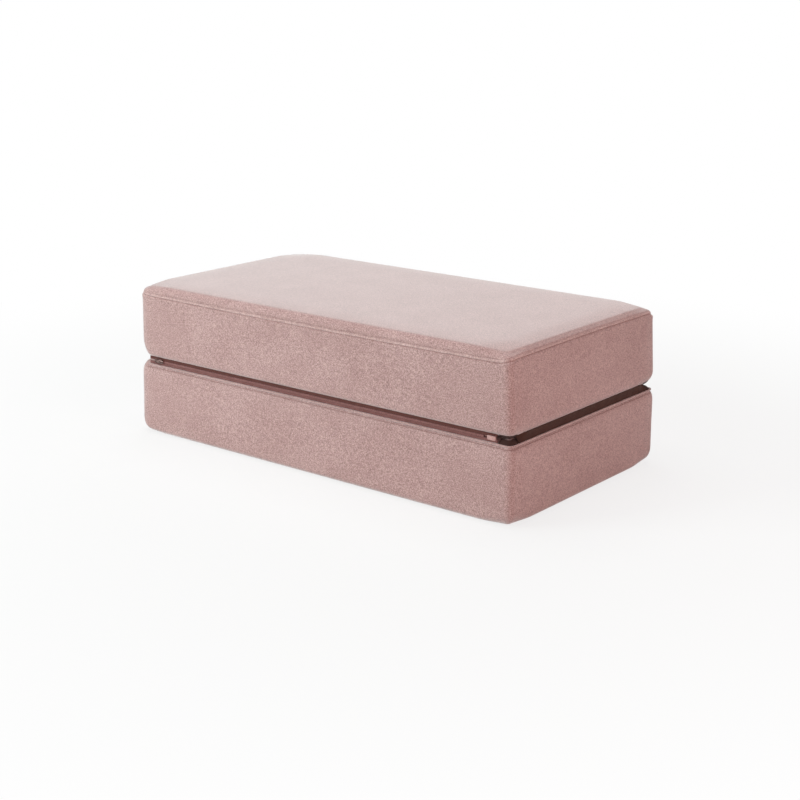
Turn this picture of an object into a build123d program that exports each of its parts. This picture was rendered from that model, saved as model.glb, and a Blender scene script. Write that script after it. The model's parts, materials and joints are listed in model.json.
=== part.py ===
from build123d import *
import os
from math import cos, radians, sin

os.makedirs("parts", exist_ok=True)

# A fold-out ottoman guest bed. Two foam sections lie on each other as an ottoman. A strip of
# cloth hinges them along the short end at +X, and a separating zip closes each long side.
# X runs along the long side, -Y is the front, and the floor is z = 0. Sizes are millimetres.

# Sections
LENGTH = 980
WIDTH = 510
THICKNESS = 164
STACK_GAP = 0.3
ROLL_RADIUS = 28  # the cover's roll over every edge
CORNER_RADIUS = 30  # upright corners, seen from above
RIM_CORNER_RADIUS = 22  # the same corner at the rim of a face
SIDE_BARREL = 1  # swell of a side at half its height
SIDE_DRAW = 2  # sides draw in between the corners
CROWN = 4  # the seat's middle above its rim
CROWN_REACH = 150  # from the rim to the flat middle of the seat
CROWN_SHARES = (0.4, 1)  # plans over the crown, as shares of its reach
CROWN_CORNER_GAIN = 30

# Layers, from the outside in
CLOTH = 1.8
WADDING = 12
WADDING_AT_SIDES = 16

# Seams. A drop is measured from the face that the seam goes round, an inset from the side.
SEAT_SEAM_DROP = 11.5
SEAT_EDGE_RUN = 4.2
SEAT_EDGE_INSETS = (3.1, 5.5)  # at its foot and at the seam
GROOVE_SEAM_DROP = 9.3
GROOVE_HALF = 8.2  # half the height of the open groove
GROOVE_EDGE_RUN = 4.8
GROOVE_EDGE_INSETS = (4.6, 5.2)
SEAM_CORNER_RADIUS = 28

# Hinge strip and zips stand in the groove on one line, this far in from the sides
BAND_DEPTH = 6.6
STRIP_CLOTH = 0.9
STRIP_LENGTH = 448
BEAD_RADIUS = 0.8  # the strip's rolled edges
BEAD_LIFT = 0.5
FIT = 0.05

# Zip: heights are measured from the middle of the groove
TAPE = 1.0
TAPE_EDGE = 2.0
TAPE_END_GAPS = (34, 36)  # from the left and the right end of the section
TOOTH_PITCH = 5.0
TOOTH_WIDTHS = (2.1, 1.6)  # at the tape and at the tip
TOOTH_REACH = 3.4
TOOTH_THICKNESS = 2.8
SLIDER_REST = 63  # from the left end
SLIDER_LENGTH = 20
SLIDER_WIDTHS = (8.6, 10.6, 8.0)  # nose, shoulder and tail
SLIDER_THICKNESS = 6.6
PLATE = 1.2
FLANGE = (3.3, 4.3)  # its height limits
FLANGE_THICKNESS = 1.2
POST = (4, 3)  # its length and width
LUG = (2.8, 1.2)  # its length and height
PIVOT_SETBACK = 5  # the pull's pivot, towards the nose
PIVOT_DEPTH = 2.1
PIVOT_PIN_RADIUS = 0.5
PULL_LENGTH = 20
PULL_WIDTH = 6.4
PULL_THICKNESS = 1.2
PULL_NECK = 1.8  # half its height
PULL_EYE_RADIUS = 1.0
PULL_SLOT = (10, 2.6)
PULL_BEVEL = 1.6
STOP_LENGTH = 4.2
STOP_HEIGHTS = (-4, -1.2)
BOX_SPAN = (39.5, 57.5)  # from the right end
BOX_HEIGHTS = (-4.4, 3.6)
BOX_THICKNESS = 3.6
BOX_WALL = 1
PIN_REACH = 5.5  # out of the box, along the tape
PIN_HEIGHTS = (0.7, 2.0)
PIN_THICKNESS = 1.8
PLAY = 0.3

MID = THICKNESS + STACK_GAP / 2
TOP = 2 * THICKNESS + STACK_GAP
COVER_TURNS = (0, 22.5, 45, 67.5, 90)  # plans up a roll, from flat to upright
LINING_TURNS = (0, 45, 90)


def side(start, end, draw):
    """One side of a plan, in two straight runs that meet at its drawn-in middle."""
    middle = (Vector(*start) + Vector(*end)) / 2
    middle -= middle.normalized() * draw
    return [Line(start, middle), Line(middle, end)]


def outline(z, inset, corner, draw=0.0):
    """The plan of a section at one height: four sides joined by corner arcs."""
    x, y = LENGTH / 2 - inset, WIDTH / 2 - inset
    cut = corner * (1 - cos(radians(45)))
    edges = []
    for sx, sy in ((1, -1), (1, 1), (-1, 1), (-1, -1)):
        at_end, at_side = (sx * x, sy * (y - corner)), (sx * (x - corner), sy * y)
        turn = (sx * (x - cut), sy * (y - cut))
        if sx * sy < 0:
            edges.append(ThreePointArc(at_side, turn, at_end))
            edges += side(at_end, (at_end[0], -at_end[1]), draw)
        else:
            edges.append(ThreePointArc(at_end, turn, at_side))
            edges += side(at_side, (-at_side[0], at_side[1]), draw)
    return Pos(0, 0, z) * make_face(edges)


def cushion(low, high, crown, turns, shrink=0.0):
    """A soft block between two heights, lofted upwards; shrink gives the layer that far in.
    Its sides are drawn in between the corners, less and less up each roll to a straight rim."""
    roll = ROLL_RADIUS - shrink
    floor, rim = low + shrink, high - shrink - crown
    plans = []
    for degrees in turns:
        lean = sin(radians(degrees))
        rise = roll * (1 - cos(radians(degrees)))
        inset = SIDE_BARREL + shrink + roll * (1 - lean)
        corner = RIM_CORNER_RADIUS + (CORNER_RADIUS - RIM_CORNER_RADIUS) * lean - shrink
        plans.append((rise, inset, corner, SIDE_DRAW * lean))
    faces = [outline(floor + rise, *plan) for rise, *plan in plans]
    faces.append(outline((floor + rim) / 2, shrink, CORNER_RADIUS - shrink, SIDE_DRAW))
    faces += [outline(rim - rise, *plan) for rise, *plan in plans[::-1]]
    _, rim_inset, rim_corner, _ = plans[0]
    for share in CROWN_SHARES if crown else ():
        height = rim + crown * (1 - (1 - share) ** 2)
        inset = rim_inset + CROWN_REACH * share
        faces.append(outline(height, inset, rim_corner + CROWN_CORNER_GAIN * share))
    return loft(faces, ruled=True)


def above(shape, z):
    return split(shape, bisect_by=Plane.XY.offset(z), keep=Keep.TOP)


def below(shape, z):
    return split(shape, bisect_by=Plane.XY.offset(z), keep=Keep.BOTTOM)


def seam_edge(form, top, run, insets, draw=0.0):
    """The raised edge that a seam leaves round a cushion, below the height top."""
    plans = [
        outline(z, inset, SEAM_CORNER_RADIUS, draw) for z, inset in zip((top - run, top), insets)
    ]
    return loft(plans, ruled=True) - form


def about(middle, size):
    return (middle - size / 2, middle + size / 2)


def block(x, depth, z):
    """A box by its limits: x, depth in from the front side, and z from the groove's middle."""
    size = [high - low for low, high in (x, depth, z)]
    middle = [(low + high) / 2 for low, high in (x, depth, z)]
    return Pos(middle[0], middle[1] - WIDTH / 2, MID + middle[2]) * Box(*size)


def plate(points, depth):
    """A flat piece along the front side: points are x and z, from the middle of the groove."""
    outline_points = [(x, MID + z) for x, z in points]
    face = Plane.XZ * make_face(Polyline(*outline_points, close=True))
    return Pos(0, depth[1] - WIDTH / 2, 0) * extrude(face, depth[1] - depth[0])


def bevelled(x, z, bevel):
    """The corner points of a rectangle with its corners cut off."""
    (x0, x1), (z0, z1) = x, z
    return [
        (x0 + bevel, z0),
        (x1 - bevel, z0),
        (x1, z0 + bevel),
        (x1, z1 - bevel),
        (x1 - bevel, z1),
        (x0 + bevel, z1),
        (x0, z1 - bevel),
        (x0, z0 + bevel),
    ]


def upright(x, depth, radius, z):
    """A round bar along Z, through the height limits z."""
    return Pos(x, depth - WIDTH / 2, MID + (z[0] + z[1]) / 2) * Cylinder(radius, z[1] - z[0])


def to_upper(shape):
    return mirror(shape, about=Plane.XY.offset(MID))


def to_back(shape):
    return mirror(shape, about=Plane.XZ)


parts = {}

# Sections: a foam core cut square, the wadding that rounds it and a cover of three panels
sections = {
    "lower": (0, THICKNESS, 0),
    "upper": (THICKNESS + STACK_GAP, TOP, CROWN),
}
seams = {
    "lower": (CLOTH, THICKNESS - GROOVE_SEAM_DROP),
    "upper": (THICKNESS + STACK_GAP + GROOVE_SEAM_DROP, TOP - CROWN - SEAT_SEAM_DROP),
}
forms = {}
for name, (low, high, crown) in sections.items():
    form = cushion(low, high, crown, COVER_TURNS)
    lining = cushion(low, high, crown, LINING_TURNS, CLOTH)
    core_inset = CLOTH + WADDING_AT_SIDES
    core_height = high - low - crown - 2 * (CLOTH + WADDING)
    core = Pos(0, 0, (low + high - crown) / 2) * Box(
        LENGTH - 2 * core_inset, WIDTH - 2 * core_inset, core_height
    )
    cover = form - lining
    base_seam, lid_seam = seams[name]
    forms[name] = form
    parts[f"{name}_foam_core"] = core
    parts[f"{name}_wadding"] = lining - core
    parts[f"{name}_base_panel"] = below(cover, base_seam)
    parts[f"{name}_side_band"] = below(above(cover, base_seam), lid_seam)
    parts[f"{name}_lid_panel"] = above(cover, lid_seam)

# Seam edges: one round the seat, and one above and below the groove that the open end lacks
parts["upper_seat_seam"] = seam_edge(
    forms["upper"], seams["upper"][1], SEAT_EDGE_RUN, SEAT_EDGE_INSETS, SIDE_DRAW
)
left, right = -LENGTH / 2, LENGTH / 2
groove_edge = seam_edge(forms["lower"], MID - GROOVE_HALF, GROOVE_EDGE_RUN, GROOVE_EDGE_INSETS)
open_end = Plane.YZ.offset(left + TAPE_END_GAPS[0])
groove_edge = split(groove_edge, bisect_by=open_end, keep=Keep.TOP)

# Hinge strip: cloth between two rolled edges, each turning in a channel of its seam edge
bead_height = GROOVE_HALF - BEAD_LIFT
bead_place = Pos(LENGTH / 2 - BAND_DEPTH, 0, MID - bead_height) * Rot(90, 0, 0)
bead = bead_place * Cylinder(BEAD_RADIUS, STRIP_LENGTH)
groove_edge -= bead_place * Cylinder(BEAD_RADIUS + FIT, STRIP_LENGTH + 2)
web = Pos(LENGTH / 2 - BAND_DEPTH, 0, MID) * Box(STRIP_CLOTH, STRIP_LENGTH, 2 * bead_height)
parts["hinge_strip"] = web + bead + to_upper(bead)
parts["lower_groove_seam"] = groove_edge
parts["upper_groove_seam"] = to_upper(groove_edge)

# Zip tapes, which stand on the seam edges and leave the chain between them
slider_x = left + SLIDER_REST
box_left, box_right = right - BOX_SPAN[1], right - BOX_SPAN[0]
tape_depth = about(BAND_DEPTH, TAPE)
tape_x = (left + TAPE_END_GAPS[0], right - TAPE_END_GAPS[1])
zip_parts = {}
lower_tape = block(tape_x, tape_depth, (-GROOVE_HALF, -TAPE_EDGE))
tape_notch = block((box_left - PLAY, right), tape_depth, (0, BOX_HEIGHTS[1] + PLAY))
zip_parts["lower_tape"] = lower_tape
zip_parts["upper_tape"] = to_upper(lower_tape) - tape_notch

# Teeth: moulded on each tape's edge, half a pitch apart, so that they mesh
root, tip = TOOTH_WIDTHS[0] / 2, TOOTH_WIDTHS[1] / 2
tooth_top = TOOTH_REACH - TAPE_EDGE
tooth_depth = about(BAND_DEPTH, TOOTH_THICKNESS)
tooth = plate(
    [(-root, -TAPE_EDGE), (root, -TAPE_EDGE), (tip, tooth_top), (-tip, tooth_top)], tooth_depth
)
first_tooth = slider_x - TOOTH_WIDTHS[0]
tooth_count = int((box_left - first_tooth - TOOTH_PITCH) / TOOTH_PITCH)
lower_row = [Pos(first_tooth + i * TOOTH_PITCH, 0, 0) * tooth for i in range(tooth_count)]
upper_row = [Pos(TOOTH_PITCH / 2, 0, 0) * to_upper(one) for one in lower_row]
zip_parts["lower_teeth"] = Compound(children=lower_row)
zip_parts["upper_teeth"] = Compound(children=upper_row)

# Stops, clipped over the tapes' edges at the closed end
stop_right = slider_x - SLIDER_LENGTH / 2 - 2 * PLAY
stop_x = (stop_right - STOP_LENGTH, stop_right)
lower_stop = block(stop_x, tooth_depth, STOP_HEIGHTS) - lower_tape
zip_parts["lower_stop"] = lower_stop
zip_parts["upper_stop"] = to_upper(lower_stop)

# Retainer box on the lower tape, with the channel that takes the upper tape's pin
box_outline = bevelled((box_left, box_right), BOX_HEIGHTS, BOX_WALL)
box = plate(box_outline, about(BAND_DEPTH, BOX_THICKNESS))
pin_x = (box_left - PIN_REACH, box_right - BOX_WALL - PLAY)
channel = block(
    (box_left - PLAY, box_right - BOX_WALL),
    about(BAND_DEPTH, PIN_THICKNESS + 2 * PLAY),
    (PIN_HEIGHTS[0] - PLAY, PIN_HEIGHTS[1] + PLAY),
)
zip_parts["box"] = box - channel - lower_tape
zip_parts["pin"] = block(pin_x, about(BAND_DEPTH, PIN_THICKNESS), PIN_HEIGHTS)

# Slider: two plates joined by the divider post, with flanges that hold the chain
nose, shoulder, tail = [width / 2 for width in SLIDER_WIDTHS]
half = SLIDER_LENGTH / 2
slider_outline = [
    (slider_x - half, -nose),
    (slider_x - half * 0.6, -shoulder),
    (slider_x + half * 0.3, -shoulder),
    (slider_x + half, -tail),
    (slider_x + half, tail),
    (slider_x + half * 0.3, shoulder),
    (slider_x - half * 0.6, shoulder),
    (slider_x - half, nose),
]
outer, inner = about(BAND_DEPTH, SLIDER_THICKNESS)
front_plate = (outer, outer + PLATE)
back_plate = (inner - PLATE, inner)
post_x, post_half = slider_x - half + PLAY, POST[1] / 2
post_outline = [
    (post_x, 0),
    (post_x + post_half, -post_half),
    (post_x + POST[0], 0),
    (post_x + post_half, post_half),
]
post = plate(post_outline, (front_plate[1], back_plate[0]))
slider = plate(slider_outline, front_plate) + plate(slider_outline, back_plate) + post
flange_x = (slider_x - half * 0.3, slider_x + half - PLAY)
for low, high in (FLANGE, (-FLANGE[1], -FLANGE[0])):
    slider += block(flange_x, (front_plate[1], front_plate[1] + FLANGE_THICKNESS), (low, high))
    slider += block(flange_x, (back_plate[0] - FLANGE_THICKNESS, back_plate[0]), (low, high))

# Pull: a slotted tab on a pin between two lugs, laid back over the slider's front plate
pivot_x = slider_x - PIVOT_SETBACK
lug_length, lug_height = LUG
lug_foot = PULL_NECK + PLAY
lug_x, lug_depth = about(pivot_x, lug_length), (PIVOT_DEPTH - PULL_EYE_RADIUS, outer)
slider += block(lug_x, lug_depth, (lug_foot, lug_foot + lug_height))
slider += block(lug_x, lug_depth, (-lug_foot - lug_height, -lug_foot))
slider += upright(pivot_x, PIVOT_DEPTH, PIVOT_PIN_RADIUS, (-lug_foot - PLAY, lug_foot + PLAY))
pull_depth = about(PIVOT_DEPTH, PULL_THICKNESS)
neck = (-PULL_NECK, PULL_NECK)
tab_x = (lug_x[1] + 2 * PLAY, pivot_x + PULL_LENGTH)
slot_x = (tab_x[1] - PULL_WIDTH / 2 - PULL_SLOT[0], tab_x[1] - PULL_WIDTH / 2)
pull = plate(bevelled(tab_x, about(0, PULL_WIDTH), PULL_BEVEL), pull_depth)
pull += block((pivot_x, slot_x[0]), pull_depth, neck)
pull += upright(pivot_x, PIVOT_DEPTH, PULL_EYE_RADIUS, neck)
pull -= block(slot_x, pull_depth, about(0, PULL_SLOT[1]))
pull -= upright(pivot_x, PIVOT_DEPTH, PIVOT_PIN_RADIUS + 2 * FIT, neck)
zip_parts["slider"] = slider
zip_parts["pull"] = pull

for name, shape in zip_parts.items():
    parts[f"front_zip_{name}"] = shape
    if name.endswith("teeth"):
        parts[f"back_zip_{name}"] = Compound(children=[to_back(one) for one in shape.solids()])
    else:
        parts[f"back_zip_{name}"] = to_back(shape)

for name, shape in parts.items():
    export_step(shape, f"parts/{name}.step")
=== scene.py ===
import bpy
import json
import math
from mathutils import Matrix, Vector


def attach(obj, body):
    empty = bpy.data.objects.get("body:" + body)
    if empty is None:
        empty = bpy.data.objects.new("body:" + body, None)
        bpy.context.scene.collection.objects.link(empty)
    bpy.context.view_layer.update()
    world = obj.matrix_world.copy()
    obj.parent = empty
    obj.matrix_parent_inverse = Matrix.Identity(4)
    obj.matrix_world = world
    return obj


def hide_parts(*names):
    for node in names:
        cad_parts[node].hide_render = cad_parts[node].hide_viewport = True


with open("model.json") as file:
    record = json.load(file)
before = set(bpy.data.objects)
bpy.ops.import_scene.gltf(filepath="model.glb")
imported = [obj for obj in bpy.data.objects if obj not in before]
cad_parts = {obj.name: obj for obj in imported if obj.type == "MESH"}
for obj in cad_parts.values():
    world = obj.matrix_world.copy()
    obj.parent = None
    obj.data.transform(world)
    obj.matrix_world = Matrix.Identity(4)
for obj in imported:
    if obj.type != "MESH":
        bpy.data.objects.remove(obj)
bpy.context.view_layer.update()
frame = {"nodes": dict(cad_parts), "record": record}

# A fold-out ottoman guest bed: two foam sections in melange felt covers lie on each other.
# A cloth strip hinges them along the short end at +X, a zip closes each long side, and the
# short end at -X is open. Lengths are metres; +X is along the long side, -Y is the front.
MM = 0.001
LENGTH, WIDTH = 0.980, 0.510
THICKNESS = 0.164
GAP = 0.3 * MM          # between the sections
MID = THICKNESS + GAP / 2
TOP = 2 * THICKNESS + GAP
ROLL = 28 * MM          # radius of the roll over every edge
CORNER = 30 * MM        # the sides turn round a corner within this
CROWN = 4 * MM          # the seat's middle above its rim
CROWN_REACH = 70 * MM   # it rises over this far from the rim
DRAW = 2 * MM           # how far the sides pull in between the corners
CLOTH_GRID = 6 * MM     # spacing of the simulated cloth's points
FILL_CAP = 2.2 * MM     # how far the simulated filling may push the cloth
FILL_FRAMES = 20        # how long it is simulated
HOLD_FADE = 10 * MM     # the cloth beside a held seam comes free over this far

SEAT_SEAM = TOP - CROWN - 11.5 * MM
GROOVE_HALF = 8.2 * MM  # half the height of the open groove
GROOVE_DEPTH = 6.6 * MM  # strip and zips stand this far in from the sides
UPPER_INSET = 9 * MM    # the groove's upper edge stands this far in
OPEN_END = -LENGTH / 2 + ROLL  # the groove's sewn edges stop here

# How the filled covers stand, fitted to the photograph's outline
LEAN_REACH = 0.35       # leans and spreads grow from the middle of the length to here
LEAN_HINGED = 9 * MM    # how far the upper section's ends lean in towards the seat
LEAN_OPEN = 4 * MM
SLACK_OPEN = 3 * MM     # and how far its open end stands back all over
SLUMP_OPEN = 6 * MM     # how far the lower section's open end spreads at the floor
CORNER_ROLL = 44 * MM   # height of the upper section's underside roll at its open corners
SEAM_DIP = 3.5, 2.5     # mm that the seat seam dips along the sides, and more in the middle
SEAM_LIFT = 2.0, 2.5    # mm that it rises over the ends, and more in the middle
SEAM_TURN = 50 * MM     # round a corner the one turns into the other over this far
RIM_FADE = 12 * MM      # the shift fades out over this far below the seat's rim
BAND_FROM, BAND_OVER = 80 * MM, 70 * MM  # and grows from this far below the seam, over this far
SINK_CORNER, SINK_CORNER_REACH = 5.0, 90 * MM  # mm that the seat sinks at its corners
SINK_END, SINK_END_REACH = 1.5, 60 * MM  # and along the hinged end

# How a corner's roll turns into the side's: from this far along the side, over this far
TURN_FROM, TURN_OVER = 20 * MM, 60 * MM
OPEN_TURN_FROM, OPEN_TURN_OVER = 10 * MM, 26 * MM  # the underside's, at the open end
CROWN_FADE = 14 * MM    # the crown fades out over this far below the rim

# The seams' hollows: (mm from the seam, mm deep)
SEAT_HOLLOW = ((-8.6, 0), (-6.6, 0.8), (-5.4, 2.0), (-4.6, 2.6), (0.0, 3.2), (0.8, 2.8),
               (1.8, 1.4), (3.4, 0.4), (5.0, 0))
GROOVE_HOLLOW = ((-3.0, 0), (0.5, 2.6), (4.2, 2.2), (5.0, 0.8), (6.0, 0.4), (7.4, 1.0),
                 (8.0, 1.0), (9.4, 0.3), (12.0, 0))


# Working by hand

def leave_all():
    """Object mode, and nothing selected."""
    if bpy.context.object and bpy.context.object.mode != "OBJECT":
        bpy.ops.object.mode_set(mode="OBJECT")
    bpy.ops.object.select_all(action="DESELECT")


def take(piece, *others):
    """Selects the piece, and makes it the active one."""
    leave_all()
    for one in (piece, *others):
        one.select_set(True)
    bpy.context.view_layer.objects.active = piece
    return piece


def in_edit(mode="VERT"):
    bpy.ops.object.mode_set(mode="EDIT")
    bpy.ops.mesh.select_mode(type=mode)
    bpy.ops.mesh.select_all(action="SELECT")


def out_of_edit():
    bpy.ops.object.mode_set(mode="OBJECT")


def started(name):
    """Names the primitive that was just added."""
    piece = bpy.context.object
    piece.name = piece.data.name = name
    return piece


def add_box(name, low, high):
    """A box between two corners, its place in its mesh."""
    leave_all()
    bpy.ops.mesh.primitive_cube_add(size=1)
    piece = started(name)
    in_edit()
    bpy.ops.transform.resize(value=[b - a for a, b in zip(low, high)])
    bpy.ops.transform.translate(value=[(a + b) / 2 for a, b in zip(low, high)])
    out_of_edit()
    return piece


def apply(piece, kind, **settings):
    """Adds a modifier with its settings, and applies it."""
    take(piece)
    added = piece.modifiers.new(kind.title(), kind)
    for key, value in settings.items():
        setattr(added, key, value)
    bpy.ops.object.modifier_apply(modifier=added.name)


def smooth(piece, degrees=None):
    take(piece)
    if degrees is None:
        bpy.ops.object.shade_smooth()
    else:
        bpy.ops.object.shade_smooth_by_angle(angle=math.radians(degrees))


def face_outwards(piece):
    take(piece)
    in_edit("FACE")
    bpy.ops.mesh.remove_doubles(threshold=0.00001)
    bpy.ops.mesh.normals_make_consistent(inside=False)
    out_of_edit()


def ease(share):
    """Runs smoothly from 0 to 1."""
    share = min(max(share, 0.0), 1.0)
    return share * share * (3 - 2 * share)


def along(value, points):
    """Straight interpolation through (place, height) points."""
    if value <= points[0][0]:
        return points[0][1]
    for (a, height_a), (b, height_b) in zip(points, points[1:]):
        if value <= b:
            return height_a + (height_b - height_a) * (value - a) / (b - a)
    return points[-1][1]


# Finishes

def linear(hex_colour):
    """An sRGB hex colour as the linear colour that a shader wants."""
    steps = [int(hex_colour[i:i + 2], 16) / 255 for i in (1, 3, 5)]
    return [c / 12.92 if c <= 0.04045 else ((c + 0.055) / 1.055) ** 2.4 for c in steps] + [1]


def add_node(tree, kind, links=None, **settings):
    """Adds a node. A setting named like a socket sets it; links go from sockets to inputs."""
    made = tree.nodes.new(kind)
    for key, value in settings.items():
        if key in made.inputs:
            made.inputs[key].default_value = value
        else:
            setattr(made, key, value)
    for key, socket in (links or {}).items():
        tree.links.new(socket, made.inputs[key])
    return made


def new_finish(name):
    """A material with its tree, its principled shader and the piece's own coordinates."""
    finish = bpy.data.materials.new(name)
    finish.use_nodes = True
    tree = finish.node_tree
    tree.nodes.clear()
    shader = add_node(tree, "ShaderNodeBsdfPrincipled")
    add_node(tree, "ShaderNodeOutputMaterial", {"Surface": shader.outputs["BSDF"]})
    place = add_node(tree, "ShaderNodeTexCoord").outputs["Object"]
    return finish, tree, shader, place


def ramp(tree, factor, *stops):
    """A colour ramp through (place, hex colour) stops."""
    made = add_node(tree, "ShaderNodeValToRGB", {"Fac": factor})
    elements = made.color_ramp.elements
    while len(elements) < len(stops):
        elements.new(0.5)
    for element, (place, colour) in zip(elements, stops):
        element.position = place
        element.color = linear(colour)
    return made.outputs["Color"]


def mix(tree, factor, a, b, blend_type="MIX"):
    made = add_node(tree, "ShaderNodeMix", data_type="RGBA", blend_type=blend_type)
    for socket, value in ((made.inputs[0], factor), (made.inputs[6], a), (made.inputs[7], b)):
        if isinstance(value, bpy.types.NodeSocket):
            tree.links.new(value, socket)
        else:
            socket.default_value = value
    return made.outputs[2]


def felt(name, light, middle, dark):
    """Felted melange wool: milled and brushed, so dyed and undyed fibres lie in all directions.
    The eye gets a speckle of two or three pinks, a soft bloom at the edges and no gloss. The
    speckle is drawn coarser than real fibres, because finer ones don't show in the render."""
    fibre = 1.5 * MM
    finish, tree, shader, place = new_finish(name)
    speckle = add_node(tree, "ShaderNodeTexNoise", {"Vector": place},
                       Scale=0.7 / fibre, Detail=3.0, Roughness=0.75, Distortion=0.6)
    heather = add_node(tree, "ShaderNodeTexNoise", {"Vector": place},
                       Scale=0.2 / fibre, Detail=2.0, Roughness=0.6)
    cloud = add_node(tree, "ShaderNodeTexNoise", {"Vector": place}, Scale=14.0, Detail=2.0)
    colour = ramp(tree, speckle.outputs["Fac"], (0.36, dark), (0.5, middle), (0.64, light))
    patches = ramp(tree, heather.outputs["Fac"], (0.34, "#eeeaea"), (0.66, "#ffffff"))
    colour = mix(tree, 0.6, colour, patches, "MULTIPLY")
    wide = ramp(tree, cloud.outputs["Fac"], (0.35, "#f2edec"), (0.65, "#ffffff"))
    colour = mix(tree, 0.7, colour, wide, "MULTIPLY")
    tree.links.new(colour, shader.inputs["Base Color"])
    fuzz = add_node(tree, "ShaderNodeTexNoise", {"Vector": place},
                    Scale=0.8 / fibre, Detail=4.0, Roughness=0.7)
    bump = add_node(tree, "ShaderNodeBump", {"Height": fuzz.outputs["Fac"]},
                    Strength=0.2, Distance=0.4 * MM)
    tree.links.new(bump.outputs["Normal"], shader.inputs["Normal"])
    shader.inputs["Roughness"].default_value = 0.7
    shader.inputs["Specular IOR Level"].default_value = 0.4
    shader.inputs["Sheen Weight"].default_value = 1.0
    shader.inputs["Sheen Roughness"].default_value = 0.4
    shader.inputs["Sheen Tint"].default_value = linear("#ffffff")
    return finish


def woven(name, light, dark, thread=0.9 * MM, shine=0.3):
    """Plain woven polyester: two sets of threads pass over and under each other.
    The eye gets a fine, even, slightly silky grid. The threads are twice as coarse as real
    ones, because finer ones don't show in the render."""
    finish, tree, shader, place = new_finish(name)
    warp = add_node(tree, "ShaderNodeTexWave", {"Vector": place}, bands_direction="Z",
                    Scale=0.314 / thread, Distortion=0.4, Detail=1.0)
    weft = add_node(tree, "ShaderNodeTexWave", {"Vector": place}, bands_direction="DIAGONAL",
                    Scale=0.314 / thread, Distortion=0.4, Detail=1.0)
    grid = add_node(tree, "ShaderNodeMath", {0: warp.outputs["Fac"], 1: weft.outputs["Fac"]},
                    operation="MULTIPLY")
    wear = add_node(tree, "ShaderNodeTexNoise", {"Vector": place}, Scale=60.0, Detail=3.0)
    colour = ramp(tree, grid.outputs[0], (0.05, dark), (0.8, light))
    worn = ramp(tree, wear.outputs["Fac"], (0.3, "#dcd6d4"), (0.7, "#ffffff"))
    tree.links.new(mix(tree, 0.8, colour, worn, "MULTIPLY"), shader.inputs["Base Color"])
    bump = add_node(tree, "ShaderNodeBump", {"Height": grid.outputs[0]},
                    Strength=0.6, Distance=0.25 * MM)
    tree.links.new(bump.outputs["Normal"], shader.inputs["Normal"])
    shader.inputs["Roughness"].default_value = 0.8
    shader.inputs["Specular IOR Level"].default_value = shine
    shader.inputs["Sheen Weight"].default_value = shine / 3
    return finish


def moulded(name, light, dark, roughness=0.45):
    """Moulded acetal, as zip teeth are: smooth and slightly waxy, with faint flow marks."""
    finish, tree, shader, place = new_finish(name)
    flow = add_node(tree, "ShaderNodeTexNoise", {"Vector": place}, Scale=300.0, Detail=2.0)
    colour = ramp(tree, flow.outputs["Fac"], (0.3, dark), (0.7, light))
    tree.links.new(colour, shader.inputs["Base Color"])
    bump = add_node(tree, "ShaderNodeBump", {"Height": flow.outputs["Fac"]},
                    Strength=0.2, Distance=0.05 * MM)
    tree.links.new(bump.outputs["Normal"], shader.inputs["Normal"])
    shader.inputs["Roughness"].default_value = roughness
    shader.inputs["IOR"].default_value = 1.48
    return finish


def plated(name, light, dark):
    """Nickel plate over die-cast zinc: a warm shine, rubbed duller here and there."""
    finish, tree, shader, place = new_finish(name)
    rub = add_node(tree, "ShaderNodeTexNoise", {"Vector": place}, Scale=420.0, Detail=4.0)
    colour = ramp(tree, rub.outputs["Fac"], (0.3, dark), (0.65, light))
    tree.links.new(colour, shader.inputs["Base Color"])
    dull = add_node(tree, "ShaderNodeMapRange", {"Value": rub.outputs["Fac"]})
    dull.inputs["To Min"].default_value = 0.22
    dull.inputs["To Max"].default_value = 0.48
    tree.links.new(dull.outputs["Result"], shader.inputs["Roughness"])
    shader.inputs["Metallic"].default_value = 1.0
    return finish


def foamed(name, light, dark):
    """Cut polyurethane foam: open cells, cream, and dead matt."""
    finish, tree, shader, place = new_finish(name)
    cells = add_node(tree, "ShaderNodeTexVoronoi", {"Vector": place}, Scale=500.0)
    colour = ramp(tree, cells.outputs["Distance"], (0.1, dark), (0.6, light))
    tree.links.new(colour, shader.inputs["Base Color"])
    bump = add_node(tree, "ShaderNodeBump", {"Height": cells.outputs["Distance"]},
                    Strength=0.7, Distance=0.6 * MM)
    tree.links.new(bump.outputs["Normal"], shader.inputs["Normal"])
    shader.inputs["Roughness"].default_value = 1.0
    return finish


pink_felt = felt("melange_wool_felt", "#dbbab5", "#be9793", "#91706c")
# The seat seam's welt is the band's own felt folded under; this lighter copy of it is a painted
# highlight along the welt's ridge.
painted_highlight_seam_felt = felt("melange_wool_felt_painted_highlight", "#e8cbc6", "#cba6a1", "#9f7b77")
thread = woven("spun_polyester_thread", "#c9a09a", "#9a716b", thread=0.5 * MM)
hinge_cloth = woven("woven_polyester_hinge", "#5e3b31", "#422922", shine=0.15)
facing_cloth = woven("woven_polyester_facing", "#5f403a", "#432c28", shine=0.15)
tape_cloth = woven("woven_zip_tape", "#a36d69", "#784d4a", thread=0.6 * MM)
# The upper zip tapes are the same tape as the lower ones; this darker, duller copy is painted
# shade from the roll that overhangs them.
painted_shade_tape_cloth = woven("woven_zip_tape_painted_shade", "#834f49", "#5a3732", thread=0.6 * MM,
                        shine=0.15)
teeth_plastic = moulded("moulded_zip_teeth", "#ac7672", "#885955")
box_plastic = moulded("moulded_zip_box", "#cfa29c", "#b98a84", roughness=0.35)
black_nickel = plated("black_nickel_plate", "#6e5551", "#3f2e2b")
rubbed_nickel = plated("rubbed_nickel_plate", "#8a726d", "#5c4945")
foam = foamed("cut_foam", "#e6e0cc", "#b5ad96")


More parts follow.
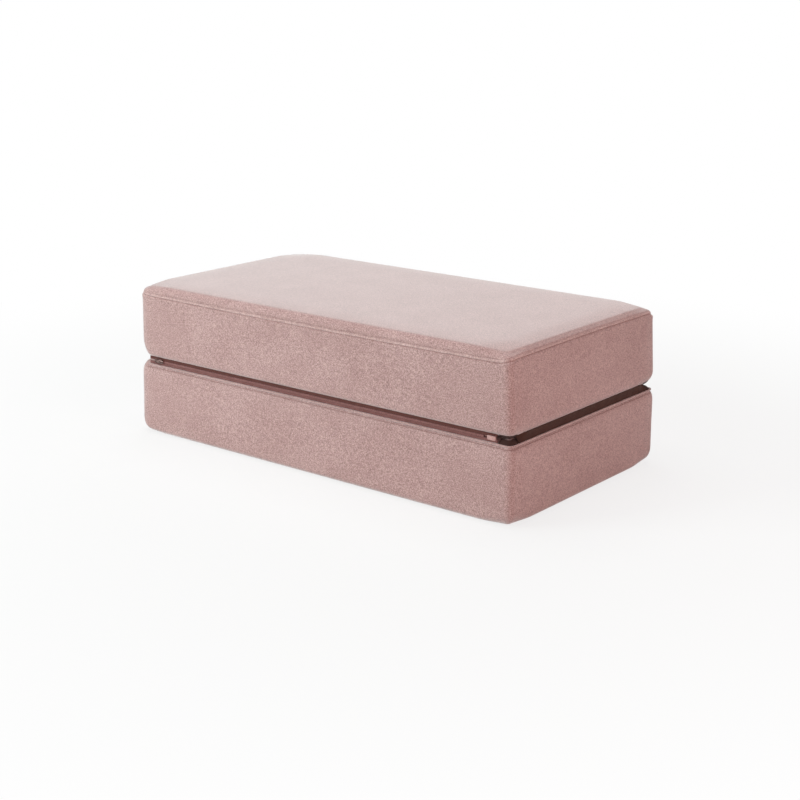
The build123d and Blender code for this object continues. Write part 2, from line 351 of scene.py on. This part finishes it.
def finish_piece(piece, body, finish, replaced=()):
    """The last steps of every piece: its finish, what it stands for, its body."""
    piece.data.materials.clear()
    piece.data.materials.append(finish)
    if replaced:
        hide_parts(*replaced)
    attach(piece, body)
    return piece


# Covers

def outward_at(x, y):
    """The direction that the side of a section faces next to a place."""
    centre_x, centre_y = LENGTH / 2 - CORNER, WIDTH / 2 - CORNER
    over_x, over_y = max(abs(x) - centre_x, 0), max(abs(y) - centre_y, 0)
    if over_x == 0 and over_y == 0:
        return Vector((0, 0, 0))
    return Vector((math.copysign(over_x, x), math.copysign(over_y, y), 0)).normalized()


def seam_rise(x, y, z):
    """How far a point near the seat seam is higher than in a flat seam. The seam dips along the
    sides and rises over the ends, and the seat's rim and the band's lower half stay put."""
    near_x, near_y = LENGTH / 2 - abs(x), WIDTH / 2 - abs(y)
    side = ease((near_x - near_y) / SEAM_TURN + 0.5)
    dip = SEAM_DIP[0] + SEAM_DIP[1] * (1 - (2 * x / LENGTH) ** 2)
    lift = SEAM_LIFT[0] + SEAM_LIFT[1] * (1 - (2 * y / WIDTH) ** 2)
    below_rim = max((TOP - CROWN - z) / RIM_FADE, 0)
    share = min(below_rim, ease((z - SEAT_SEAM + BAND_FROM) / BAND_OVER), 1)
    return (lift * (1 - side) - dip * side) * share * MM


def seat_sink(x, y, z):
    """How far the seat, above its seam, sinks at the corners and along the hinged end."""
    near_x, near_y = LENGTH / 2 - abs(x), WIDTH / 2 - abs(y)
    corner = ease(1 - near_x / SINK_CORNER_REACH) * ease(1 - near_y / SINK_CORNER_REACH)
    end = ease(1 - near_x / SINK_END_REACH) if x > 0 else 0
    lowered = (SINK_CORNER * corner + SINK_END * end * (1 - corner)) * MM
    return lowered * min(max((z - SEAT_SEAM) / MM - 1, 0) / 10, 1)


def settle(piece):
    """Lets the sections lie as filled covers do: the corners at the hinge are full, the upper
    section leans in towards the seat, the lower one spreads at the open end, the seat seam
    isn't flat, and the seat sinks at its corners."""
    centre_x, centre_y = LENGTH / 2 - ROLL, WIDTH / 2 - ROLL
    for point in piece.data.vertices:
        x, y, z = point.co
        over_x, over_y = x - centre_x, abs(y) - centre_y
        if over_x > 0 and over_y > 0:
            fuller = math.hypot(over_x, over_y) / (over_x ** 4 + over_y ** 4) ** 0.25
            point.co.x = centre_x + over_x * fuller
            point.co.y = math.copysign(centre_y + over_y * fuller, y)
        rise = (z - MID) / (TOP - MID)
        if rise < 0:
            point.co.x += SLUMP_OPEN * rise * ease(-x / LEAN_REACH)
        elif x > 0:
            point.co.x -= LEAN_HINGED * rise * ease(x / LEAN_REACH)
        else:
            point.co.x += (SLACK_OPEN + LEAN_OPEN * rise) * ease(-x / LEAN_REACH)
        point.co.z += seam_rise(x, y, z)
        point.co.z -= seat_sink(x, y, z)


def press_in(piece, seam, way, hollow, closed):
    """Cuts rows of edges into a cover along a seam, and presses the cloth in there. The
    hollow's steps go up from the seam, or down from it with way -1. Unless it is closed, the
    hollow stops before the open end."""
    rows = [seam + way * step * MM for step, _ in hollow]
    take(piece)
    in_edit("EDGE")
    for z in rows:
        bpy.ops.mesh.select_all(action="SELECT")
        bpy.ops.mesh.bisect(plane_co=(0, 0, z), plane_no=(0, 0, 1))
    out_of_edit()
    low, high = min(rows), max(rows)
    for point in piece.data.vertices:
        x, y, z = point.co
        if not low < z < high:
            continue
        depth = along(way * (z - seam) / MM, hollow) * MM
        share = 1.0 if closed else ease((x - OPEN_END + 8 * MM) / (12 * MM))
        point.co -= outward_at(x, y) * depth * share


def filled(piece, low, held):
    """Lets air pressure swell the cover a little, up to FILL_CAP. The underside and the held
    seams, as (height, reach), stay where they are."""
    group = piece.vertex_groups.new(name="held")
    for point in piece.data.vertices:
        z = point.co.z
        weight = 1.0 if z < low + 0.5 * MM else max(
            1 - ease((abs(z - height) - reach) / HOLD_FADE) for height, reach in held)
        if weight > 0:
            group.add([point.index], weight, "REPLACE")
    before = [point.co.copy() for point in piece.data.vertices]
    take(piece)
    cloth = piece.modifiers.new("Cloth", "CLOTH")
    cloth.settings.vertex_group_mass = "held"
    cloth.settings.quality = 6
    cloth.settings.mass = 0.3
    cloth.settings.tension_stiffness = 12
    cloth.settings.compression_stiffness = 12
    cloth.settings.bending_stiffness = 0.8
    cloth.settings.use_pressure = True
    cloth.settings.uniform_pressure_force = 4
    cloth.settings.effector_weights.gravity = 0
    cloth.point_cache.frame_start, cloth.point_cache.frame_end = 1, FILL_FRAMES
    for step in range(1, FILL_FRAMES + 1):
        bpy.context.scene.frame_set(step)
    bpy.ops.object.modifier_apply(modifier=cloth.name)
    bpy.context.scene.frame_set(1)
    piece.vertex_groups.clear()
    for point, start in zip(piece.data.vertices, before):
        moved = point.co - start
        far = moved.length
        if far > 1e-9:
            point.co = start + moved * (FILL_CAP * math.tanh(far / (4 * FILL_CAP)) / far)


def taken_up(distance, by):
    """How far a point at a distance from an edge moves when the edge's roll gets tighter."""
    if distance < ROLL:
        return by * distance / ROLL
    return by * max(1 - (distance - ROLL) / (2 * ROLL), 0)


def cover(name, low, high, crown, seams, top_rolls, base_rolls, open_roll):
    """A section's cover: a box rolled over at its edges, filled and crowned. The rolls are
    (depth, height), along the sides and then round the corners; open_roll is the height of
    the underside's roll at the corners of the open end."""
    rim = high - crown
    half_x, half_y = LENGTH / 2, WIDTH / 2
    piece = add_box(name, (-half_x, -half_y, low), (half_x, half_y, rim))
    in_edit("EDGE")
    bpy.ops.mesh.bevel(offset=ROLL, segments=8, affect="EDGES")
    out_of_edit()
    apply(piece, "REMESH", mode="VOXEL", voxel_size=CLOTH_GRID)
    filled(piece, low, seams)
    edge = ROLL * 0.99      # a point nearer than this to an edge's flat lies in its roll
    for point in piece.data.vertices:
        x, y, z = point.co
        near_x, near_y = max(half_x - abs(x), 0), max(half_y - abs(y), 0)
        inwards, run = min(near_x, near_y), max(near_x, near_y)
        straight = ease((run - TURN_FROM) / TURN_OVER)
        axis = 0 if near_x < near_y else 1
        ways = (rim - z, 1, top_rolls), (z - low, -1, base_rolls)
        for distance, way, (side, corner) in ways:
            depth_by = ROLL - side[0] * straight - corner[0] * (1 - straight)
            height_by = ROLL - side[1] * straight - corner[1] * (1 - straight)
            if way < 0 and x < 0:
                # the open corner's roll is short, so that the zip tapes' ends still lie on it
                sides = ease((run - OPEN_TURN_FROM) / OPEN_TURN_OVER)
                height_by = ROLL - side[1] * sides - open_roll * (1 - sides)
            if distance < edge:
                point.co[axis] += math.copysign(taken_up(inwards, depth_by), point.co[axis])
            if inwards < edge:
                point.co.z += way * taken_up(max(distance, 0), height_by)
        if crown:
            share = min(inwards / CROWN_REACH, 1.0)
            held_up = ease((z - rim + CROWN_FADE) / CROWN_FADE)
            point.co.z += crown * (1 - (1 - share) ** 2) * held_up
        height = min(z - low, rim - z) / (ROLL * 1.5)
        pull = DRAW * ease(height)
        if half_y - abs(y) < ROLL:
            point.co.y -= math.copysign(pull * (1 - (x / half_x) ** 2), y)
        if half_x - abs(x) < ROLL:
            point.co.x -= math.copysign(pull * 0.5 * (1 - (y / half_y) ** 2), x)
        point.co.z = min(max(point.co.z, low), high)
    apply(piece, "SUBSURF", levels=1, render_levels=1)
    return piece


FULL_ROLL = (ROLL, ROLL)
crest = {"lower": MID - GROOVE_HALF, "upper": MID + GROOVE_HALF}

lower_cover = cover("lower_cover", 0.0, THICKNESS, 0.0, [(MID, 22 * MM), (0.0, 12 * MM)],
                    (FULL_ROLL, FULL_ROLL), ((20 * MM, 17 * MM), FULL_ROLL), ROLL)
press_in(lower_cover, crest["lower"], -1, GROOVE_HOLLOW, closed=False)
upper_cover = cover("upper_cover", THICKNESS + GAP, TOP, CROWN,
                    [(MID, 22 * MM), (SEAT_SEAM, 8 * MM)],
                    ((16 * MM, 20 * MM), (22 * MM, 21 * MM)), ((ROLL, 22 * MM), FULL_ROLL),
                    CORNER_ROLL)
press_in(upper_cover, SEAT_SEAM, 1, SEAT_HOLLOW, closed=True)
for name, piece in (("lower", lower_cover), ("upper", upper_cover)):
    settle(piece)
    smooth(piece)
    finish_piece(piece, f"{name}_section", pink_felt,
                 [f"{name}_base_panel", f"{name}_side_band", f"{name}_lid_panel",
                  f"{name}_wadding"])


# Sewn edges

# The seat's paths start just inside the cover that they are then laid on
SEAT_PATH_INSET, SEAT_PATH_CORNER = 8 * MM, 20 * MM
STITCH_PITCH, STITCH_LENGTH, STITCH_GIRTH = 4.2 * MM, 3.0 * MM, 0.9 * MM


def path_round(name, z, inset, corner, to_open_end=False, lies_on=None):
    """A curve round a section at one height, settled as the section is. It may stop at the open
    end, which leaves out the side at -X, and it may lie on a cover."""
    leave_all()
    bpy.ops.mesh.primitive_plane_add(size=1)
    piece = started(name)
    in_edit("VERT")
    bpy.ops.transform.resize(value=(LENGTH - 2 * inset, WIDTH - 2 * inset, 1))
    bpy.ops.transform.translate(value=(0, 0, z))
    bpy.ops.mesh.bevel(offset=corner, offset_type="OFFSET", segments=12, affect="VERTICES")
    bpy.ops.mesh.select_all(action="SELECT")
    bpy.ops.mesh.delete(type="ONLY_FACE")
    if to_open_end:
        bpy.ops.mesh.select_all(action="SELECT")
        bpy.ops.mesh.bisect(plane_co=(OPEN_END, 0, 0), plane_no=(1, 0, 0), clear_inner=True)
    out_of_edit()
    if lies_on:
        # the long straight runs need points, so that they can follow the cover
        in_edit("EDGE")
        bpy.ops.mesh.select_all(action="DESELECT")
        out_of_edit()
        for line in piece.data.edges:
            ends = [piece.data.vertices[i].co for i in line.vertices]
            line.select = (ends[0] - ends[1]).length > 0.1
        bpy.ops.object.mode_set(mode="EDIT")
        bpy.ops.mesh.subdivide(number_cuts=40)
        out_of_edit()
    settle(piece)
    if lies_on:
        apply(piece, "SHRINKWRAP", target=lies_on, wrap_method="NEAREST_SURFACEPOINT")
    take(piece)
    bpy.ops.object.convert(target="CURVE")
    piece = bpy.context.object
    piece.data.twist_mode = "Z_UP"
    return piece


def swept(name, path, profile):
    """Runs a closed profile along a path. Its points are (depth inwards, height), in mm."""
    leave_all()
    bpy.ops.mesh.primitive_circle_add(vertices=len(profile), radius=1)
    section = started(f"{name}_profile")
    # the profile starts as a ring, and its points are moved to where the section has them
    for point, (depth, height) in zip(section.data.vertices, profile):
        point.co = (-depth * MM, height * MM, 0)
    take(section)
    bpy.ops.object.convert(target="CURVE")
    section = bpy.context.object
    path.data.bevel_mode = "OBJECT"
    path.data.bevel_object = section
    path.data.use_fill_caps = True
    take(path)
    bpy.ops.object.convert(target="MESH")
    piece = started(name)
    bpy.data.objects.remove(section)
    face_outwards(piece)
    return piece


def stitched(name, path):
    """A row of stitches along a path: one stitch is modelled, and the row repeats it."""
    run = path.data.splines[0].calc_length()
    leave_all()
    bpy.ops.mesh.primitive_cylinder_add(vertices=6, radius=STITCH_GIRTH / 2,
                                        depth=STITCH_LENGTH)
    piece = started(name)
    in_edit("FACE")
    bpy.ops.mesh.select_all(action="DESELECT")
    out_of_edit()
    for face in piece.data.polygons:
        face.select = abs(face.normal.z) > 0.9
    bpy.ops.object.mode_set(mode="EDIT")
    bpy.ops.mesh.inset(thickness=STITCH_GIRTH * 0.2, depth=STITCH_GIRTH * 0.35)
    bpy.ops.mesh.select_all(action="SELECT")
    bpy.ops.transform.rotate(value=math.radians(90), orient_axis="Y", center_override=(0, 0, 0))
    bpy.ops.transform.translate(value=(STITCH_PITCH / 2, 0, 0))
    out_of_edit()
    apply(piece, "ARRAY", use_relative_offset=False, use_constant_offset=True,
          constant_offset_displace=(STITCH_PITCH, 0, 0), count=int(run / STITCH_PITCH))
    apply(piece, "CURVE", object=path, deform_axis="POS_X")
    bpy.data.objects.remove(path)
    smooth(piece)
    return piece


# Seat seam: the band's edge is folded under and topstitched, which raises a soft welt
path = path_round("seat_path", SEAT_SEAM - 2.4 * MM, SEAT_PATH_INSET, SEAT_PATH_CORNER,
                  lies_on=upper_cover)
seat_edge = swept("seat_seam_edge", path,
                  [(6.3, 1.2), (2.5, 1.6), (0.6, 1.7), (-0.6, 1.5), (-1.6, 0.8), (-2.3, -0.3),
                   (-2.6, -1.3), (-2.4, -2.1), (-1.6, -2.7), (0.9, -3.1), (6.3, -3.3)])
smooth(seat_edge, 60)
# the welt gets the lighter felt: a painted highlight on its ridge
finish_piece(seat_edge, "upper_section", painted_highlight_seam_felt, ["upper_seat_seam"])
path = path_round("seat_stitch_path", SEAT_SEAM - 6.0 * MM, SEAT_PATH_INSET, SEAT_PATH_CORNER,
                  lies_on=upper_cover)
seat_stitches = stitched("seat_topstitch", path)
finish_piece(seat_stitches, "upper_section", thread)

# Groove: the lower band ends in a topstitched welt, and the upper one in a bead under its roll
path = path_round("lower_groove_path", crest["lower"], 0.0, ROLL, to_open_end=True)
lower_welt = swept("lower_groove_edge", path,
                   [(9.5, -4.8), (9.5, -1.0), (6.3, -0.9), (5.8, -0.4), (5.2, -0.1),
                    (4.6, -0.2), (4.2, -0.6), (4.1, -1.6), (4.3, -2.8), (4.9, -3.8),
                    (5.8, -4.6)])
path = path_round("upper_groove_path", crest["upper"], UPPER_INSET, ROLL - UPPER_INSET,
                  to_open_end=True, lies_on=upper_cover)
upper_welt = swept("upper_groove_edge", path,
                   [(4.1, 3.0), (2.5, 1.8), (1.0, 1.2), (0.2, 0.6), (0.1, -0.2), (0.6, -0.8),
                    (1.6, -0.9), (3.1, -0.2), (4.6, 1.0)])
for name, welt in (("lower", lower_welt), ("upper", upper_welt)):
    smooth(welt, 60)
    finish_piece(welt, f"{name}_section", pink_felt, [f"{name}_groove_seam"])
path = path_round("groove_stitch_path", crest["lower"] - 7.7 * MM, 3.4 * MM, ROLL - 3.4 * MM,
                  to_open_end=True)
groove_stitches = stitched("lower_groove_topstitch", path)
finish_piece(groove_stitches, "lower_section", thread)

# Hinge and facings

HINGE_AXES = 7.7 * MM   # the strip's two hinge lines, above and below the groove's middle
STRIP_LENGTH = 448 * MM
STRIP_PLACE = LENGTH / 2 - GROOVE_DEPTH
TUCK_START = 198 * MM   # from here out to its ends the strip's top edge is tucked in
TUCK_RUN = 26 * MM
TUCK_DEPTH = 9          # mm
CORD_RADIUS = 0.8 * MM
FACING_START = 0.4555   # the corner facings reach from here round to the strip
# mm that a facing goes towards the other section, and mm inwards, fold by fold
FACING_FOLDS = ((2.9, 2.6), (2.9, 3.6), (2.0, 4.6))


def hinge_strip():
    """The hinge: a doubled strip of cloth, a little slack, with a rolled cord in each edge. Its
    ends are tucked in at the top, under the upper section."""
    leave_all()
    bpy.ops.mesh.primitive_grid_add(x_subdivisions=8, y_subdivisions=112, size=1)
    piece = started("hinge_cloth_strip")
    in_edit()
    bpy.ops.transform.resize(value=(2 * HINGE_AXES, STRIP_LENGTH, 1))
    bpy.ops.transform.rotate(value=math.radians(90), orient_axis="Y", center_override=(0, 0, 0))
    bpy.ops.transform.translate(value=(STRIP_PLACE, 0, MID))
    out_of_edit()
    for point in piece.data.vertices:
        x, y, z = point.co
        across = 1 - ((z - MID) / HINGE_AXES) ** 2
        height = (z - MID + HINGE_AXES) / HINGE_AXES / 2
        tucked = ease((abs(y) - TUCK_START) / TUCK_RUN) * height
        ripple = 0.35 * math.sin(y * 71 + 0.6) + 0.25 * math.sin(y * 173 + 2.0)
        point.co.x -= (across * (0.9 + ripple) + TUCK_DEPTH * tucked) * MM
    apply(piece, "SOLIDIFY", thickness=0.9 * MM, offset=0)
    apply(piece, "SUBSURF", levels=1, render_levels=1)
    cords = []
    for end, length in ((-1, STRIP_LENGTH), (1, 2 * TUCK_START)):
        leave_all()
        bpy.ops.mesh.primitive_cylinder_add(vertices=16, radius=CORD_RADIUS, depth=length)
        cord = started(f"edge_cord_{end}")
        in_edit()
        bpy.ops.transform.rotate(value=math.radians(90), orient_axis="X",
                                 center_override=(0, 0, 0))
        bpy.ops.transform.translate(value=(STRIP_PLACE, 0, MID + end * HINGE_AXES))
        out_of_edit()
        cords.append(cord)
    take(piece, *cords)
    bpy.ops.object.join()
    smooth(piece, 50)
    return piece


strip = hinge_strip()
finish_piece(strip, "hinge_strip", hinge_cloth, ["hinge_strip"])


def corner_facing(name, side, up):
    """Plain dark cloth that closes a section's half of the groove round one corner."""
    if up > 0:
        start, inset = crest["lower"] - 1.5 * MM, 6.8 * MM
    else:
        start, inset = crest["upper"], UPPER_INSET
    piece = path_round(f"{name}_path", start, inset, ROLL - inset)
    take(piece)
    bpy.ops.object.convert(target="MESH")
    piece = started(name)
    in_edit("EDGE")
    bpy.ops.mesh.bisect(plane_co=(FACING_START, 0, 0), plane_no=(1, 0, 0), clear_inner=True)
    bpy.ops.mesh.select_all(action="SELECT")
    bpy.ops.mesh.bisect(plane_co=(0, side * (STRIP_LENGTH / 2 + 0.4 * MM), 0),
                        plane_no=(0, side, 0), clear_inner=True)
    for rise, inwards in FACING_FOLDS:
        bpy.ops.mesh.select_all(action="DESELECT")
        out_of_edit()
        edge = max(up * point.co.z for point in piece.data.vertices)
        for point in piece.data.vertices:
            point.select = up * point.co.z > edge - 0.1 * MM
        for line in piece.data.edges:
            line.select = all(piece.data.vertices[i].select for i in line.vertices)
        bpy.ops.object.mode_set(mode="EDIT")
        bpy.ops.mesh.extrude_region_move(
            TRANSFORM_OT_translate={"value": (0, 0, up * rise * MM)})
        out_of_edit()
        for point in piece.data.vertices:
            if point.select:
                point.co -= outward_at(point.co.x, point.co.y) * inwards * MM
        bpy.ops.object.mode_set(mode="EDIT")
    out_of_edit()
    face_outwards(piece)
    apply(piece, "SOLIDIFY", thickness=0.8 * MM, offset=0)
    smooth(piece, 50)
    return piece


for side_name, side in (("front", -1), ("back", 1)):
    for name, up in (("lower", 1), ("upper", -1)):
        facing = corner_facing(f"{side_name}_{name}_corner_facing", side, up)
        finish_piece(facing, f"{name}_section", facing_cloth)

# Zips

def softened(node, width, segments=2):
    """A copy of a hard part with its edges broken, as moulding and plating leave them."""
    leave_all()
    source = frame["nodes"][node]
    piece = bpy.data.objects.new(f"{node}_finished", source.data.copy())
    bpy.context.scene.collection.objects.link(piece)
    take(piece)
    in_edit("FACE")
    bpy.ops.mesh.remove_doubles(threshold=0.00001)
    bpy.ops.mesh.dissolve_limited(angle_limit=math.radians(1))
    out_of_edit()
    apply(piece, "BEVEL", width=width, segments=segments, limit_method="ANGLE",
          angle_limit=math.radians(35), use_clamp_overlap=True)
    smooth(piece, 45)
    return piece


ZIP_FINISHES = {
    "lower_teeth": ("zip_teeth", teeth_plastic, 0.35 * MM, 1),
    "upper_teeth": ("zip_teeth", teeth_plastic, 0.35 * MM, 1),
    "lower_stop": ("zip_metal", black_nickel, 0.3 * MM, 2),
    "upper_stop": ("zip_metal", black_nickel, 0.3 * MM, 2),
    "box": ("zip_box", box_plastic, 0.4 * MM, 2),
    "pin": ("zip_teeth", teeth_plastic, 0.3 * MM, 1),
    "slider": ("zip_metal", black_nickel, 0.3 * MM, 2),
    "pull": ("zip_metal", rubbed_nickel, 0.25 * MM, 2),
}
node_body = {node: body for body, nodes in frame["record"]["behaviour"]["bodies"].items()
             for node in nodes}
for side in ("front", "back"):
    for part, (slot, finish, width, segments) in ZIP_FINISHES.items():
        node = f"{side}_zip_{part}"
        finish_piece(softened(node, width, segments), node_body[node], finish, [node])

# What stays from CAD

def refinish(node, finish):
    piece = frame["nodes"][node]
    piece.data.materials.clear()
    piece.data.materials.append(finish)


for section in ("lower", "upper"):
    refinish(f"{section}_foam_core", foam)
for side in ("front", "back"):
    refinish(f"{side}_zip_lower_tape", tape_cloth)
    # the upper tapes get the darker copy: painted shade under the upper section's roll
    refinish(f"{side}_zip_upper_tape", painted_shade_tape_cloth)

# Floor, light and camera

def seen_by_camera(tree):
    """1 for the rays that see a thing, directly or as a reflection; 0 for those that light."""
    rays = add_node(tree, "ShaderNodeLightPath")
    seen = add_node(tree, "ShaderNodeMath", {0: rays.outputs["Is Camera Ray"],
                                             1: rays.outputs["Is Glossy Ray"]},
                    operation="MAXIMUM")
    return seen.outputs[0]


leave_all()
bpy.ops.mesh.primitive_plane_add(size=14, location=(0, 0, -0.2 * MM))
floor = started("studio_floor")
floor.data.materials.append(bpy.data.materials.new("white_seamless_paper"))
floor.data.materials[0].use_nodes = True
tree = floor.data.materials[0].node_tree
tree.nodes.clear()
# near the object the camera sees a fifth of the lit paper, so of its shadow too, and the rest
# as a white glow; further out it sees plain white
paper = add_node(tree, "ShaderNodeBsdfDiffuse", Color=linear("#f4f3f2"))
glow = add_node(tree, "ShaderNodeEmission", Color=linear("#ffffff"), Strength=1.0)
spot = add_node(tree, "ShaderNodeTexCoord").outputs["Object"]
reach = add_node(tree, "ShaderNodeVectorMath", {0: spot}, operation="LENGTH")
fade = add_node(tree, "ShaderNodeMapRange", {"Value": reach.outputs["Value"]},
                interpolation_type="SMOOTHSTEP")
for socket, value in (("From Min", 0.6), ("From Max", 1.8), ("To Min", 0.78), ("To Max", 1.0)):
    fade.inputs[socket].default_value = value
lit = add_node(tree, "ShaderNodeMixShader", {0: fade.outputs["Result"], 1: paper.outputs[0],
                                             2: glow.outputs[0]})
pick = add_node(tree, "ShaderNodeMixShader", {0: seen_by_camera(tree), 1: paper.outputs[0],
                                              2: lit.outputs[0]})
add_node(tree, "ShaderNodeOutputMaterial", {"Surface": pick.outputs[0]})


def lamp(name, at, towards, size, power, colour="#ffffff"):
    """A soft box: a square area lamp that faces a point."""
    leave_all()
    bpy.ops.object.light_add(type="AREA", location=at)
    light = bpy.context.object
    light.name = name
    light.data.size = size
    light.data.energy = power
    light.data.color = linear(colour)[:3]
    light.rotation_mode = "QUATERNION"
    light.rotation_quaternion = (Vector(towards) - Vector(at)).to_track_quat("-Z", "Y")


# two of the lamps are tinted, to give the photograph's colours from its camera
middle = (0, 0, 0.16)
lamp("overhead_box", (-0.5, 0.1, 3.0), middle, 2.4, 41)
lamp("front_left_box", (-2.2, -3.2, 1.4), middle, 2.0, 112, "#efffff")
lamp("right_fill", (3.4, -0.6, 1.1), middle, 1.6, 35, "#ffdcd5")
lamp("back_box", (-1.8, 3.0, 1.7), middle, 2.4, 15)

world = bpy.context.scene.world or bpy.data.worlds.new("studio")
bpy.context.scene.world = world
world.use_nodes = True
tree = world.node_tree
tree.nodes.clear()
air = add_node(tree, "ShaderNodeBackground", Color=linear("#ffffff"), Strength=0.21)
paper = add_node(tree, "ShaderNodeBackground", Color=linear("#ffffff"), Strength=1.0)
pick = add_node(tree, "ShaderNodeMixShader", {0: seen_by_camera(tree), 1: air.outputs[0],
                                              2: paper.outputs[0]})
add_node(tree, "ShaderNodeOutputWorld", {"Surface": pick.outputs[0]})

bpy.context.scene.view_settings.view_transform = "Standard"

# The camera stands where lines fitted to the photograph's edges put it
AZIMUTH, PITCH = math.radians(38.8064), math.radians(14.5159)
FOCAL_PIXELS, PICTURE_PIXELS = 1514.8, 800
SENSOR_WIDTH = 36       # mm, as the focal length is
back =Vector((math.sin(AZIMUTH) * math.cos(PITCH), -math.cos(AZIMUTH) * math.cos(PITCH),
               math.sin(PITCH)))
leave_all()
bpy.ops.object.camera_add(location=(1.9345, -2.3666, 0.9772))
camera = bpy.context.object
camera.name = "photograph_camera"
camera.rotation_mode = "QUATERNION"
camera.rotation_quaternion = (-back).to_track_quat("-Z", "Y")
camera.data.sensor_width = SENSOR_WIDTH
camera.data.lens = FOCAL_PIXELS / PICTURE_PIXELS * SENSOR_WIDTH
camera.data.shift_y = -0.05
bpy.context.scene.camera = camera

leave_all()
